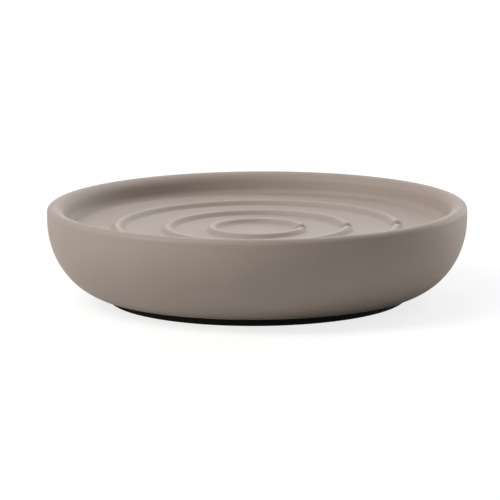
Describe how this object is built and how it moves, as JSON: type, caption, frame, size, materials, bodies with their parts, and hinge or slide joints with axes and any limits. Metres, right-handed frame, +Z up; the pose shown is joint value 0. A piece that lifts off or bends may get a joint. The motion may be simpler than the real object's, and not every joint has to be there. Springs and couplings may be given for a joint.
{
  "type": "soap dish",
  "caption": "Round bellied soap dish with a fat rounded rim, broken concentric soap ribs on a dished floor, and a soft anti-slip base.",
  "frame": {"origin": "centre of the base pad's underside, on the counter", "axes": "+Z up along the dish's axis; +X towards the drainage gaps in the soap ribs; the picture looks along +Y and slightly down"},
  "size_m": [0.12, 0.12, 0.0271],
  "materials": {
    "dish_body": "matte soft-touch taupe coat on stoneware",
    "anti_slip_base": "matte black"
  },
  "bodies": {
    "root": {"dish_body": "dish_body", "anti_slip_base": "anti_slip_base"}
  },
  "joints": []
}
